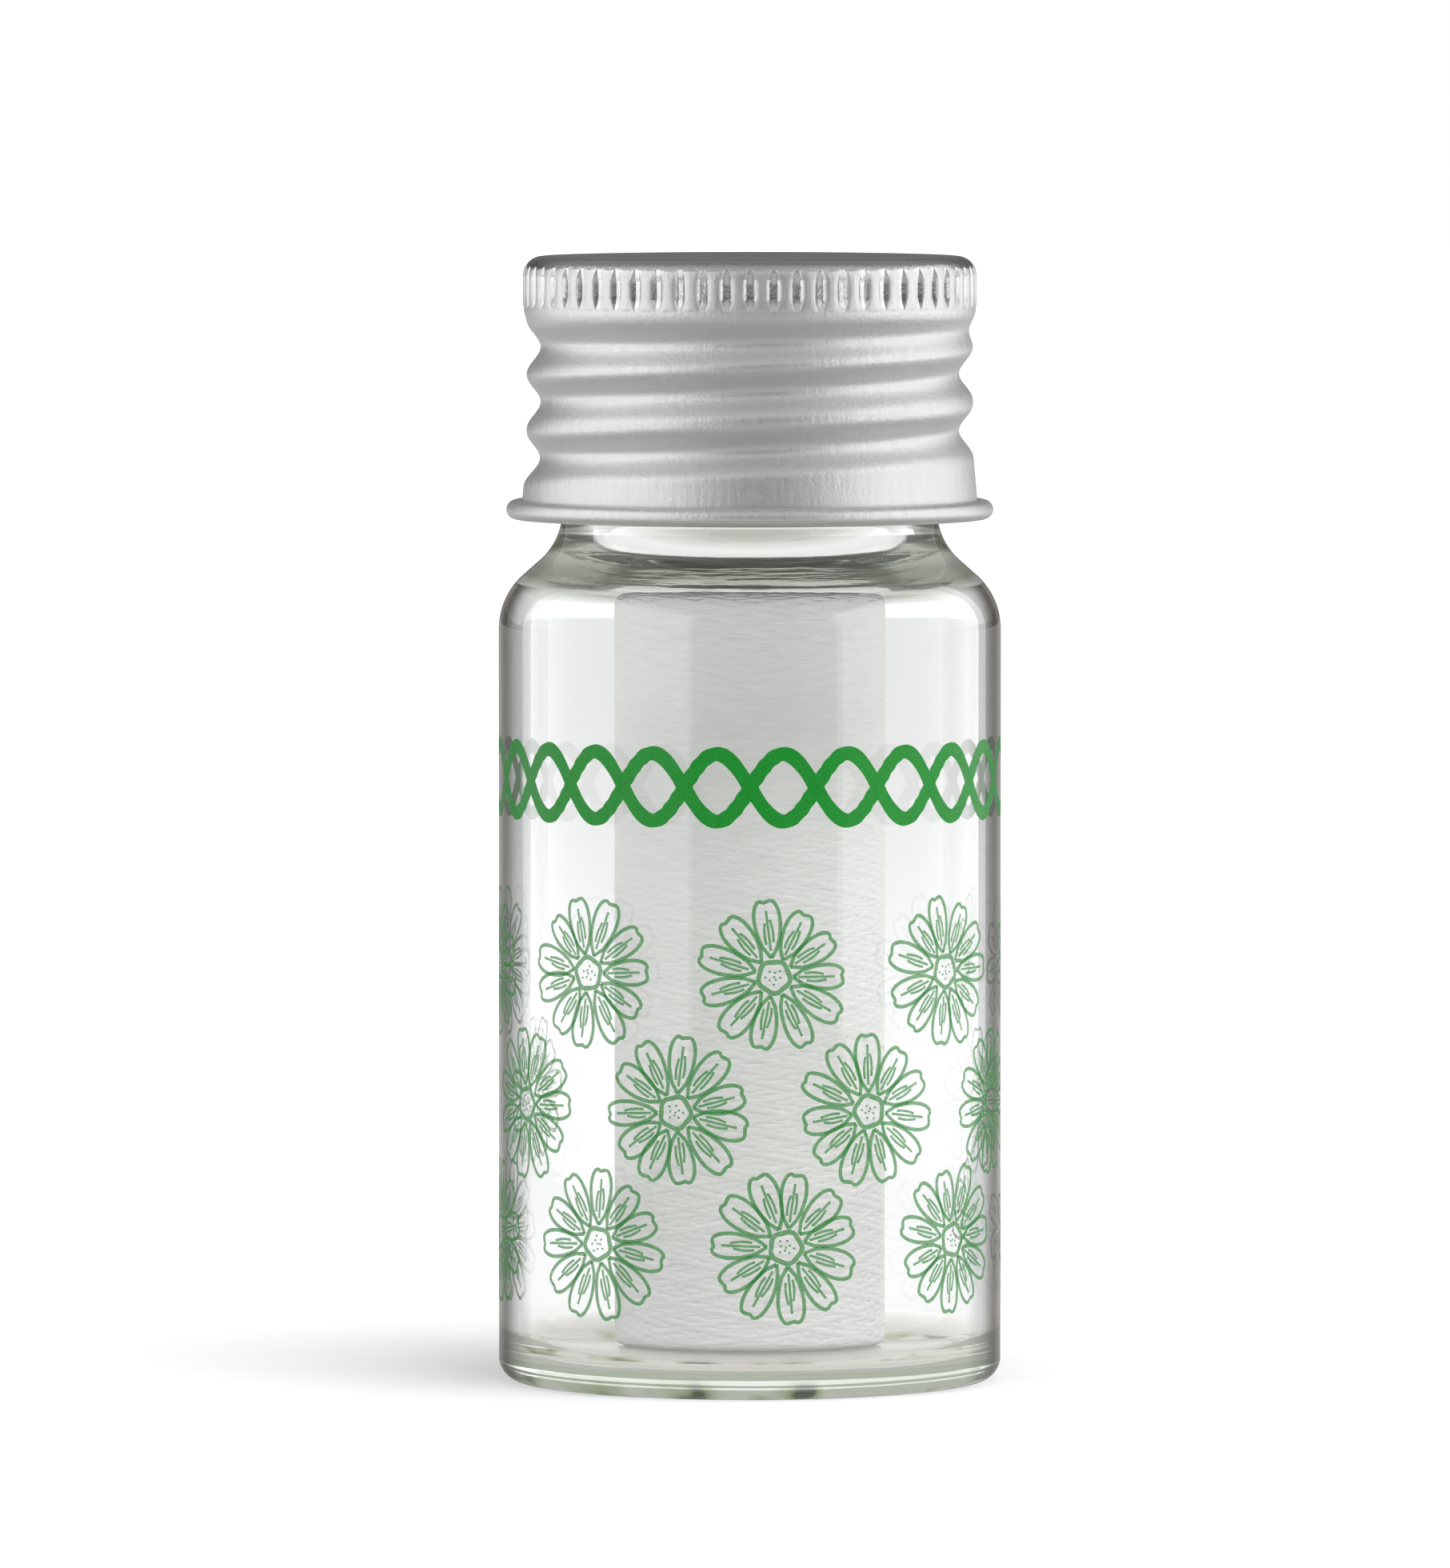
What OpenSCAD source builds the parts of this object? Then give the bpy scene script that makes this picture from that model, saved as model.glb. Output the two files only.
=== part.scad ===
// Refillable dental floss dispenser: a tubular glass vial with a screw neck, a knurled
// aluminium screw cap with its foam liner, a pressed steel plug with the eyelet and the
// cutter, and a cross-wound bobbin of floss standing in the vial.
// Millimetres, +Z up, origin at the middle of the vial's base, front towards -Y.

/* [Vial] */
// Outer diameter of the glass body
vial_d = 28; // [26:0.5:32]
// Height of the glass from the table to its rim
vial_h = 61; // [55:0.5:75]
// Glass wall of the straight body
wall_t = 1.2; // [1:0.1:1.5]
// Thickness of the glass floor at its middle
floor_t = 1.7; // [1.2:0.1:2.5]
// Rise of the hollow under the base
punt_h = 0.5; // [0.3:0.1:0.8]
// Radius of the hollow under the base
punt_r = 10.4; // [8:0.2:11]
// Outer rounding between the base and the body
base_round = 2.2; // [1.5:0.1:3]
// Inner rounding between the floor and the body
floor_round = 1.9; // [1.2:0.1:2.4]
// Outer rounding of the shoulder
shoulder_round = 4; // [3:0.1:4.6]
// Hollow rounding between the shoulder and the neck
throat_round = 3.65; // [3:0.05:4]
// Rounding between the neck's bore and the shoulder inside
bore_round = 3; // [2:0.1:3.4]
// Lean of the shoulder's straight part away from upright
shoulder_lean = 48.5; // [44:0.5:52]

/* [Neck] */
// Outer diameter of the neck where the cap leaves it in view
waist_d = 20.9; // [20:0.1:21.2]
// Outer diameter of the finish under its thread
finish_d = 21.2; // [21:0.1:21.6]
// Diameter of the bore through the neck
bore_d = 16.6; // [15:0.1:17]
// Length of the neck from the rim down to the end of the throat
neck_l = 12.5; // [11:0.1:14]
// Length of the thicker finish under the rim
finish_l = 11.2; // [10:0.1:11.6]
// Rounding of the rim's two edges
rim_round = 0.4; // [0.2:0.05:0.6]

/* [Thread] */
// Rise of the thread in one turn
pitch = 3.175; // [3:0.025:3.3]
// Drop from the rim to the middle of the cap's top crest on the right
thread_drop = 3.27; // [3:0.01:3.4]
// Outer diameter of the thread ridge on the glass
ridge_d = 23.6; // [23:0.1:23.8]
// Width of the glass ridge at its foot
ridge_w = 2.2; // [1.8:0.1:2.4]
// Drop of the glass ridge from the middle of the cap's crest when closed
ridge_seat = 0.1; // [0:0.05:0.2]

/* [Cap] */
// Diameter of the cap over the lands of its knurl
knurl_d = 25.16; // [25:0.02:25.6]
// Height of the knurled band from the top of the cap
knurl_h = 3.15; // [2.8:0.05:3.4]
// Number of grooves round the knurl
knurl_n = 60; // [40:1:72]
// Depth of a groove at its upper end
groove_depth = 0.25; // [0.15:0.01:0.28]
// Width of a groove's flat floor
groove_w = 0.25; // [0.15:0.01:0.35]
// Lean of a groove's two flanks away from the radius
groove_flank = 40; // [30:1:50]
// Drop from the top of the cap to the upper end of the grooves
groove_drop = 0.5; // [0.4:0.05:0.8]
// Length of the grooves
groove_l = 2.3; // [1.8:0.05:2.4]
// Whole height of the cap
cap_h = 14.6; // [14.2:0.1:15]
// Rounding round the top of the cap
cap_round = 1; // [0.6:0.05:1.2]
// Aluminium sheet
sheet_t = 0.25; // [0.2:0.01:0.28]
// Diameter of the shell over the crests of its thread
crest_d = 24.86; // [24.8:0.02:25]
// Depth of the rolled groove between the crests
root_depth = 0.78; // [0.6:0.01:0.8]
// Diameter of the skirt just over the bead
skirt_d = 25.34; // [25.2:0.02:25.6]
// Height of the flared skirt over the bottom of the cap
skirt_h = 3.85; // [3.4:0.05:4]
// Diameter over the rolled bead
bead_d = 27.12; // [26.6:0.02:27.4]
// Height of the rolled bead
bead_h = 1.06; // [0.9:0.02:1.1]
// Inner diameter of the shell behind the knurl
shell_bore_d = 24.1; // [24:0.02:24.2]

/* [Liner] */
// Width of the foam liner beyond the plug's flange
liner_margin = 1.6; // [1:0.1:1.7]
// Thickness of the foam liner
liner_t = 1.1; // [0.8:0.05:1.3]
// Depth of the ring that the plug has pressed into the foam
dent_depth = 0.1; // [0.05:0.01:0.2]

/* [Plug] */
// Steel sheet of the plug
steel_t = 0.3; // [0.25:0.01:0.4]
// Outer diameter of the flange on the rim
flange_d = 20.2; // [19:0.1:20.4]
// Gap between the cup's wall and the bore of the neck
cup_fit = 0.1; // [0.06:0.01:0.15]
// Gap left by the sprung tabs at the bore
tab_fit = 0.02; // [0.01:0.01:0.04]
// Depth of the cup under the rim
cup_depth = 3; // [2.8:0.1:4]
// Diameter of the eyelet's hole
eyelet_d = 2.5; // [1.5:0.1:3]
// Length of the eyelet under the cup's floor
eyelet_l = 0.9; // [0.5:0.1:1.2]
// Number of sprung tabs round the cup
tab_n = 6; // [4:1:8]
// Width of a sprung tab
tab_w = 1.6; // [1.2:0.1:1.8]
// Height of a sprung tab
tab_h = 1.4; // [1:0.1:1.5]
// Slit between a tab or the tongue and the sheet it is cut from
lance_gap = 0.3; // [0.2:0.05:0.35]
// Width of the cutter's tongue
tongue_w = 3; // [2:0.1:3.2]
// Length of the cutter's tongue
tongue_l = 2.8; // [2:0.1:3]
// Rise of the tongue from the cup's floor
tongue_lift = 28; // [20:1:34]
// Distance from the middle of the plug to the root of the tongue
tongue_x = 6.2; // [6:0.1:6.6]
// Width of the cutting notch at the tongue's edge
notch_w = 0.7; // [0.4:0.05:0.8]
// Depth of the cutting notch
notch_l = 1.1; // [0.6:0.05:1.2]

/* [Bobbin] */
// Diameter over the wound floss
bobbin_d = 15.2; // [13:0.1:15.6]
// Height of the wound bobbin
bobbin_h = 41.3; // [34:0.1:42]
// Bore through the middle of the bobbin
bobbin_bore = 5; // [3:0.1:7]
// Rounding of the packed body's ends
bobbin_round = 1; // [0.6:0.05:1.4]
// Gap between the bobbin and the glass floor
stand_gap = 0.1; // [0.05:0.01:0.2]
// Loops of the last two traverses together
wind_loops = 24; // [16:2:24]
// Width of the band of floss along the bobbin
band_w = 2; // [1.4:0.05:2.1]
// Thickness of the band of floss
band_t = 0.45; // [0.4:0.01:0.5]
// Step in radius from the inner traverse to the outer one
layer_step = 1.05; // [1:0.01:1.1]
// Gap between the packed body and the traverse on it
lay_gap = 0.06; // [0.04:0.01:0.1]

/* [Hidden] */
$fn = 72;

// One overrun for every cut, and one sinking depth for what is fused
overrun = 0.4;
sink = 0.3;
arc_n = 8;
corner_arc_n = 5;

// Vial
vial_r = vial_d / 2;
bore_r = bore_d / 2;
waist_r = waist_d / 2;
finish_r = finish_d / 2;
floor_z = punt_h + floor_t;
inner_r = vial_r - wall_t;
throat_z = vial_h - neck_l;
shoulder_in_round = shoulder_round - wall_t;
shoulder_cx = vial_r - shoulder_round;
// Outer line of the shoulder, between its two arcs
lean_out_x = shoulder_cx + shoulder_round * cos(shoulder_lean);
lean_top_x = waist_r + throat_round * (1 - cos(shoulder_lean));
lean_rise = (lean_out_x - lean_top_x) / tan(shoulder_lean);
shoulder_z = throat_z - (throat_round + shoulder_round) * sin(shoulder_lean) - lean_rise;
// Inner line of the shoulder, parallel to the outer one
lean_in_x = shoulder_cx + shoulder_in_round * cos(shoulder_lean);
lean_in_top_x = bore_r + bore_round * (1 - cos(shoulder_lean));
lean_in_rise = (lean_in_x - lean_in_top_x) / tan(shoulder_lean);
bore_z = shoulder_z + (shoulder_in_round + bore_round) * sin(shoulder_lean) + lean_in_rise;
finish_step = finish_d - waist_d;

// Thread: angles run on past a whole turn, and 0 is the top crest on the right
ridge_r = ridge_d / 2;
ridge_from = -510;
ridge_to = 12;
ridge_fade = 24;
ridge_steps = 50;
ridge_z = vial_h - thread_drop;
root_from = -640;
root_full_from = -560;
root_full_to = 200;
root_to = 450;
root_level_from = 150;
root_level_share = 0.556;
fade_width_share = 0.45;
// Outline of the ridge: shares of its height and of half its width
ridge_shares = [[0, -1], [0.75, -0.66], [1, -0.34], [1, 0.34], [0.75, 0.66], [0, 1]];
ridge_low_share = -0.12;

// Cap
liner_d = flange_d + 2 * liner_margin;
flange_z = vial_h + steel_t;
liner_z = flange_z + liner_t;
cap_top = liner_z + sheet_t;
cap_bottom = cap_top - cap_h;
knurl_r = knurl_d / 2;
knurl_z = cap_top - knurl_h;
shell_bore_r = shell_bore_d / 2;
crest_r = crest_d / 2;
skirt_r = skirt_d / 2;
skirt_top = cap_bottom + skirt_h;
bead_r = bead_h / 2;
bead_cx = bead_d / 2 - bead_r;
band_low = cap_bottom + bead_r;
band_top = knurl_z + sink;
band_rows = 26;
band_n = 72;
bead_turn_to = 150;

// Plug
cup_r = bore_r - cup_fit;
cup_z = vial_h - cup_depth;
tab_root_z = vial_h - steel_t - lance_gap;
tab_reach = bore_r - tab_fit;
tab_lean = 3;

// Bobbin
bobbin_r = bobbin_d / 2;
bobbin_z = floor_z + stand_gap;
band_stations = 24;
outer_lay_r = bobbin_r - band_t / 2;
inner_lay_r = outer_lay_r - layer_step;
chord_share = 1 - cos(180 / band_stations);
core_r = inner_lay_r - band_t / 2 - lay_gap - inner_lay_r * chord_share;
wind_low = bobbin_z + band_w / 2 + bobbin_round / 4;
wind_high = bobbin_z + bobbin_h - band_w / 2 - bobbin_round / 4;
// Shares of a turn in which the strand changes layer, and in which it turns back
layer_turn_share = 0.2;
back_turn_share = 0.2;
band_shares = [[0, -1], [1, -0.72], [1, 0.72], [0, 1], [-1, 0.72], [-1, -0.72]];

// Points of an arc about a centre
function arc(cx, cz, r, from, to, n = arc_n) =
    [for (i = [0 : n]) let(a = from + (to - from) * i / n) [cx + r * cos(a), cz + r * sin(a)]];

function clamp(x) = min(1, max(0, x));
function ease(x) = let(c = clamp(x)) c * c * (3 - 2 * c);

// Faces of a tube of rings, closed at both ends
function tube_faces(rings, sides) = concat(
    [[for (i = [0 : sides - 1]) sides - 1 - i]],
    [for (k = [0 : rings - 2], i = [0 : sides - 1], half = [0, 1])
        let(j = (i + 1) % sides, a = k * sides, b = a + sides)
        half == 0 ? [a + i, a + j, b + j] : [a + i, b + j, b + i]],
    [[for (i = [0 : sides - 1]) (rings - 1) * sides + i]]);

// Height of the crest helix on the cap at an angle that runs on past a turn
function crest_z(a) = ridge_z + pitch * a / 360;

// Height of the rolled groove's middle; it levels off as it runs out under the knurl
function root_z(a) = ridge_z - pitch / 2
    + pitch * (min(a, root_level_from) + root_level_share * max(0, a - root_level_from)) / 360;

// How much of its full depth the rolled groove has at an angle
function root_share(a) =
    ease((a - root_from) / (root_full_from - root_from)) * ease((root_to - a) / (root_to - root_full_to));

// The groove's depth at one height, from one of its turns
function root_cut(a, z) = let(
    s = root_share(a),
    half = pitch / 2 * (fade_width_share + (1 - fade_width_share) * s),
    x = min(1, abs(z - root_z(a)) / half)) root_depth * s * (1 + cos(180 * x)) / 2;

// Outer radius of the threaded shell
function shell_r(a, z) = crest_r + (skirt_r - crest_r) * clamp((skirt_top - z) / (skirt_h - bead_h))
    - root_cut(a - 720, z) - root_cut(a - 360, z) - root_cut(a, z) - root_cut(a + 360, z);

// Profile of the glass, from the middle of the base round to the middle of the floor
vial_outline = concat(
    [for (i = [0 : arc_n]) let(s = i / arc_n) [punt_r * s, punt_h * (1 - s * s)]],
    arc(vial_r - base_round, base_round, base_round, -90, 0),
    arc(shoulder_cx, shoulder_z, shoulder_round, 0, shoulder_lean),
    arc(waist_r + throat_round, throat_z, throat_round, 180 + shoulder_lean, 180),
    [[waist_r, vial_h - finish_l - finish_step], [finish_r, vial_h - finish_l]],
    arc(finish_r - rim_round, vial_h - rim_round, rim_round, 0, 90),
    arc(bore_r + rim_round, vial_h - rim_round, rim_round, 90, 180),
    arc(bore_r + bore_round, bore_z, bore_round, 180, 180 + shoulder_lean),
    arc(shoulder_cx, shoulder_z, shoulder_in_round, shoulder_lean, 0),
    arc(inner_r - floor_round, floor_z + floor_round, floor_round, 0, -90),
    [[0, floor_z]]);

// The moulded screw ridge on the glass, which fades into the finish at both ends
module ridge() {
    height = ridge_r - finish_r;
    points = [for (k = [0 : ridge_steps]) let(
            a = ridge_from + (ridge_to - ridge_from) * k / ridge_steps,
            near = min(a - ridge_from, ridge_to - a) / ridge_fade,
            s = ridge_low_share + (1 - ridge_low_share) * ease(near),
            z = crest_z(a) - ridge_seat)
        each concat(
            [let(r = finish_r - sink) [r * cos(a), r * sin(a), z - ridge_w / 2]],
            [for (p = ridge_shares) let(r = finish_r + height * s * p[0] - (p[0] == 0 ? sink / 2 : 0))
                [r * cos(a), r * sin(a), z + ridge_w / 2 * p[1]]],
            [let(r = finish_r - sink) [r * cos(a), r * sin(a), z + ridge_w / 2]])];
    polyhedron(points, tube_faces(ridge_steps + 1, len(ridge_shares) + 2));
}

module glass_vial() {
    color([0.86, 0.93, 0.89, 0.45]) union() {
        rotate_extrude() polygon(vial_outline);
        ridge();
    }
}

// One sprung tab lanced out of the cup's wall, leaning out at its free lower end
module tab() {
    translate([tab_reach - steel_t - tab_h * sin(tab_lean), -tab_w / 2, tab_root_z])
        rotate([0, -tab_lean, 0])
            translate([0, 0, -tab_h]) cube([steel_t, tab_w, tab_h + lance_gap]);
}

// The window that frees a tab from the wall
module tab_window() {
    translate([cup_r - steel_t - overrun, -tab_w / 2 - lance_gap, tab_root_z - tab_h - lance_gap])
        cube([steel_t + 2 * overrun, tab_w + 2 * lance_gap, tab_h + lance_gap]);
}

// The cutter: a tongue lanced up from the floor, with a tapered notch that nips the floss
module tongue() {
    translate([tongue_x, 0, cup_z]) rotate([0, tongue_lift, 0]) linear_extrude(steel_t)
        polygon([[0, -tongue_w / 2], [0, tongue_w / 2], [-tongue_l, tongue_w / 2],
            [-tongue_l, notch_w / 2], [notch_l - tongue_l, 0], [-tongue_l, -notch_w / 2],
            [-tongue_l, -tongue_w / 2]]);
}

module cutter_plug() {
    eye_r = eyelet_d / 2;
    color([0.78, 0.79, 0.81]) union() {
        difference() {
            rotate_extrude() polygon([
                [eye_r, cup_z - eyelet_l], [eye_r + steel_t, cup_z - eyelet_l],
                [eye_r + steel_t, cup_z], [cup_r - steel_t, cup_z], [cup_r, cup_z + steel_t],
                [cup_r, vial_h - rim_round / 2], [cup_r + rim_round / 2, vial_h],
                [flange_d / 2, vial_h], [flange_d / 2, flange_z],
                [cup_r, flange_z], [cup_r - steel_t, flange_z - steel_t],
                [cup_r - steel_t, cup_z + steel_t],
                [eye_r + steel_t / 2, cup_z + steel_t], [eye_r, cup_z + steel_t / 2]]);
            for (i = [0 : tab_n - 1]) rotate(360 / tab_n * i) tab_window();
            translate([tongue_x - tongue_l - lance_gap, -tongue_w / 2 - lance_gap, cup_z - overrun])
                cube([tongue_l + lance_gap, tongue_w + 2 * lance_gap, steel_t + 2 * overrun]);
        }
        for (i = [0 : tab_n - 1]) rotate(360 / tab_n * i) tab();
        tongue();
    }
}

module cap_liner() {
    color([0.93, 0.93, 0.9]) rotate_extrude() polygon([
        [0, flange_z - dent_depth], [cup_r - cup_fit, flange_z - dent_depth],
        [cup_r - cup_fit, flange_z], [flange_d / 2 + cup_fit, flange_z],
        [flange_d / 2 + cup_fit, flange_z - dent_depth],
        [liner_d / 2 - dent_depth, flange_z - dent_depth], [liner_d / 2, flange_z],
        [liner_d / 2, liner_z], [0, liner_z]]);
}

// What the knurling roller presses in: a flat floor between two flanks, running out below
module groove() {
    lean = atan2(groove_depth, groove_l);
    reach = groove_depth + overrun;
    flare = groove_w / 2 + reach * tan(groove_flank);
    translate([knurl_r, 0, cap_top - groove_drop - groove_l]) rotate([0, -lean, 0])
        translate([0, 0, -overrun]) linear_extrude(groove_l + overrun)
            polygon([[0, -groove_w / 2], [reach, -flare], [reach, flare], [0, groove_w / 2]]);
}

// Panel, rounded corner and knurled band, thick enough to take the pressed-in grooves
module knurled_top() {
    difference() {
        rotate_extrude() polygon(concat(
            [[0, cap_top]],
            arc(knurl_r - cap_round, cap_top - cap_round, cap_round, 90, 0, corner_arc_n),
            [[knurl_r, knurl_z + sheet_t], [crest_r - sheet_t / 4, knurl_z], [shell_bore_r, knurl_z],
                [shell_bore_r, liner_z - sheet_t], [shell_bore_r - sheet_t, liner_z], [0, liner_z]]));
        for (i = [0 : knurl_n - 1]) rotate(360 / knurl_n * i) groove();
    }
}

// The rolled thread: one sheet whose outside and inside follow the same helix
module threaded_band() {
    step = (band_top - band_low) / band_rows;
    row = band_n;
    points = concat(
        [for (k = [0 : band_rows], i = [0 : band_n - 1]) let(
            a = 360 * i / band_n, z = band_low + step * k, r = shell_r(a, z)) [r * cos(a), r * sin(a), z]],
        [for (k = [0 : band_rows], i = [0 : band_n - 1]) let(
            a = 360 * i / band_n, z = band_low + step * k, r = shell_r(a, z) - sheet_t)
            [r * cos(a), r * sin(a), z]]);
    in = (band_rows + 1) * row;
    last = band_rows * row;
    faces = concat(
        [for (k = [0 : band_rows - 1], i = [0 : band_n - 1], side = [0, 1], half = [0, 1])
            let(j = (i + 1) % row, a = side * in + k * row, b = a + row)
            side == 0
                ? (half == 0 ? [a + i, b + j, a + j] : [a + i, b + i, b + j])
                : (half == 0 ? [a + i, a + j, b + j] : [a + i, b + j, b + i])],
        [for (i = [0 : band_n - 1], end = [0, 1], half = [0, 1])
            let(j = (i + 1) % row, a = end * last, b = end * last + in)
            end == 0
                ? (half == 0 ? [a + i, a + j, b + j] : [a + i, b + j, b + i])
                : (half == 0 ? [a + i, b + j, a + j] : [a + i, b + i, b + j])]);
    polyhedron(points, faces);
}

// The sheet's edge, rolled outwards into a bead under the skirt
module bead() {
    inside = skirt_r - sheet_t / 2;
    turned = arc(bead_cx, cap_bottom + bead_r, bead_r, -90, bead_turn_to);
    last = turned[arc_n];
    rotate_extrude() polygon(concat(
        [[inside, last[1]], [inside, cap_bottom + sheet_t], [inside + sheet_t, cap_bottom]], turned));
}

module cap_shell() {
    color([0.8, 0.8, 0.81]) union() {
        knurled_top();
        threaded_band();
        bead();
    }
}

// The packed inner layers of the bobbin, with its bore
module floss_core() {
    low = bobbin_z;
    high = bobbin_z + bobbin_h;
    color([0.9, 0.9, 0.88]) rotate_extrude() polygon(concat(
        [[bobbin_bore / 2, low]],
        arc(core_r - bobbin_round, low + bobbin_round, bobbin_round, -90, 0),
        arc(core_r - bobbin_round, high - bobbin_round, bobbin_round, 0, 90),
        [[bobbin_bore / 2, high]]));
}

// The last two traverses: down on the inner layer, back up over it on the outer one
wind_half = wind_loops / 2;
wind_reach = wind_half - back_turn_share / 2;
function wind_x(x) = let(d = abs(x))
    d < back_turn_share ? d * d / (2 * back_turn_share) : d - back_turn_share / 2;
function wind_z(u) = wind_low + (wind_high - wind_low) * wind_x(u - wind_half) / wind_reach;
function wind_r(u) = inner_lay_r
    + layer_step * ease((u - wind_half + layer_turn_share) / (2 * layer_turn_share));
wind_count = wind_loops * band_stations;
function wind_gap(i, k) = let(u = i / band_stations, v = u + k)
    max(abs(wind_r(v) - wind_r(u)) - band_t, abs(wind_z(v) - wind_z(u)) - band_w);
least_gap = min([for (k = [1 : wind_loops - 1], i = [0 : wind_count - k * band_stations]) wind_gap(i, k)]);
echo(least_gap_of_the_winding_to_itself = least_gap);

module floss_winding() {
    sides = len(band_shares);
    turns = [for (i = [0 : wind_count]) let(u = i / band_stations, a = 360 * u, r = wind_r(u), z = wind_z(u))
        each [for (p = band_shares) let(q = r + band_t / 2 * p[0])
            [q * cos(a), q * sin(a), z + band_w / 2 * p[1]]]];
    // Each end runs straight on for one thickness of the band
    head = [for (i = [0 : sides - 1]) turns[i] - (turns[sides + i] - turns[i])
        * band_t / norm(turns[sides + i] - turns[i])];
    n = wind_count * sides;
    tail = [for (i = [0 : sides - 1]) turns[n + i] + (turns[n + i] - turns[n - sides + i])
        * band_t / norm(turns[n + i] - turns[n - sides + i])];
    color([0.96, 0.96, 0.94]) polyhedron(concat(head, turns, tail), tube_faces(wind_count + 3, sides));
}

glass_vial();
cutter_plug();
cap_liner();
cap_shell();
floss_core();
floss_winding();
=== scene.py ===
import bpy
import math
import random
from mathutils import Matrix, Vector


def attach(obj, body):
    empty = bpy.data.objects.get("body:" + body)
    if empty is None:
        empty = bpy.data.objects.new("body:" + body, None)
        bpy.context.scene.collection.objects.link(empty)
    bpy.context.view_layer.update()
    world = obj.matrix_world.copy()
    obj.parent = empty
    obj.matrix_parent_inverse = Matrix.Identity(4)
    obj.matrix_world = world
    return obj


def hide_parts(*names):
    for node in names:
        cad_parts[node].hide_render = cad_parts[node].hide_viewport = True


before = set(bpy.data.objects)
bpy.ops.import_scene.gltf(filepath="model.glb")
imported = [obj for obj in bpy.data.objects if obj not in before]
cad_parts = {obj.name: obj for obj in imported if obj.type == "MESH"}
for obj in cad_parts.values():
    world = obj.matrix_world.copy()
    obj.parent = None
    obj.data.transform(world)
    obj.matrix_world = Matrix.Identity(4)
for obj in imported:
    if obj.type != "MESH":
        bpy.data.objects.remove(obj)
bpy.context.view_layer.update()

# The vial: clear soda glass, blown from tube, with a thick, slightly hollow base, a round shoulder
# and a screw neck under the cap. Sizes are in millimetres: the outside repeats the part's own down
# to the foot, and the foot and the inside follow how the glass bends light. Meshes are in metres.
mm = 0.001
vial_r = 13.99
vial_h = 61
wall_t = 1.2
punt_h = 0.35
punt_r = 10.4
base_round = 1.3
floor_round = 1.7
floor_z = 1.4
floor_rings = (8, 5, 2)
shoulder_round = 4
shoulder_lean = 48.5
throat_round = 3.65
bore_r = 8.65
bore_round = 2.4
bore_end_z = 47.6
inner_lean = 60
inner_z = 42.0
waist_r = 10.45
finish_r = 10.6
finish_step = 0.3
neck_l = 12.5
finish_l = 11.2
rim_round = 0.4
straight_steps = 12
finish_rows = 84
vial_sides = 256

# The moulded screw ridge starts on the right and runs down; its angles are in degrees
pitch = 3.175
thread_z = 57.73
ridge_h = 1.2
ridge_w = 2.2
ridge_seat = 0.1
ridge_slope = 0.55
ridge_from = -510
ridge_to = 12
ridge_fade = 24
ridge_low_z = 49.5


def arc(cx, cz, r, start, end, steps=18):
    points = []
    for i in range(steps + 1):
        a = math.radians(start + (end - start) * i / steps)
        points.append((cx + r * math.cos(a), cz + r * math.sin(a)))
    return points


def ease(x):
    x = min(1, max(0, x))
    return x * x * (3 - 2 * x)


def mesh_piece(name, points, faces, material, crease=None):
    mesh = bpy.data.meshes.new(name)
    mesh.from_pydata([(x * mm, y * mm, z * mm) for x, y, z in points], [], faces)
    mesh.update()
    mesh.shade_smooth()
    if crease:
        mesh.set_sharp_from_angle(angle=math.radians(crease))
    piece = bpy.data.objects.new(name, mesh)
    bpy.context.scene.collection.objects.link(piece)
    piece.data.materials.append(material)
    return piece


def ring_faces(first, rings, sides):
    faces = []
    for k in range(rings - 1):
        a = first + k * sides
        b = a + sides
        for i in range(sides):
            j = (i + 1) % sides
            faces.append((a + i, a + j, b + j, b + i))
    return faces


def new_material(name):
    material = bpy.data.materials.new(name)
    material.use_nodes = True
    tree = material.node_tree
    return material, tree.nodes, tree.links, tree.nodes["Principled BSDF"]


def vial_profile():
    lean = math.radians(shoulder_lean)
    shoulder_cx = vial_r - shoulder_round
    inner_round = shoulder_round - wall_t
    throat_z = vial_h - neck_l
    out_x = shoulder_cx + shoulder_round * math.cos(lean)
    out_top_x = waist_r + throat_round * (1 - math.cos(lean))
    out_rise = (out_x - out_top_x) / math.tan(lean)
    shoulder_z = throat_z - (throat_round + shoulder_round) * math.sin(lean) - out_rise
    outside = []
    for i in range(1, straight_steps + 1):
        s = i / straight_steps
        outside.append((punt_r * s, punt_h * (1 - s * s)))
    outside += arc(vial_r - base_round, base_round, base_round, -90, 0)
    for i in range(1, straight_steps):
        outside.append((vial_r, base_round + (shoulder_z - base_round) * i / straight_steps))
    outside += arc(shoulder_cx, shoulder_z, shoulder_round, 0, shoulder_lean)
    outside += arc(waist_r + throat_round, throat_z, throat_round, 180 + shoulder_lean, 180)
    low = vial_h - finish_l - finish_step
    high = vial_h - rim_round
    for i in range(finish_rows + 1):
        z = low + (high - low) * i / finish_rows
        outside.append((waist_r + (finish_r - waist_r) * ease((z - low) / finish_step), z))
    outside += arc(finish_r - rim_round, high, rim_round, 0, 90, 6)[1:]
    inside = arc(bore_r + rim_round, high, rim_round, 90, 180, 6)
    inside += arc(bore_r + bore_round, bore_end_z, bore_round, 180, 180 + inner_lean)
    inside += arc(shoulder_cx, inner_z, inner_round, inner_lean, 0)
    for i in range(1, straight_steps):
        z = inner_z + (floor_z + floor_round - inner_z) * i / straight_steps
        inside.append((vial_r - wall_t, z))
    inside += arc(vial_r - wall_t - floor_round, floor_z + floor_round, floor_round, 0, -90)
    inside += [(r, floor_z) for r in floor_rings]
    return outside + inside


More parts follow.
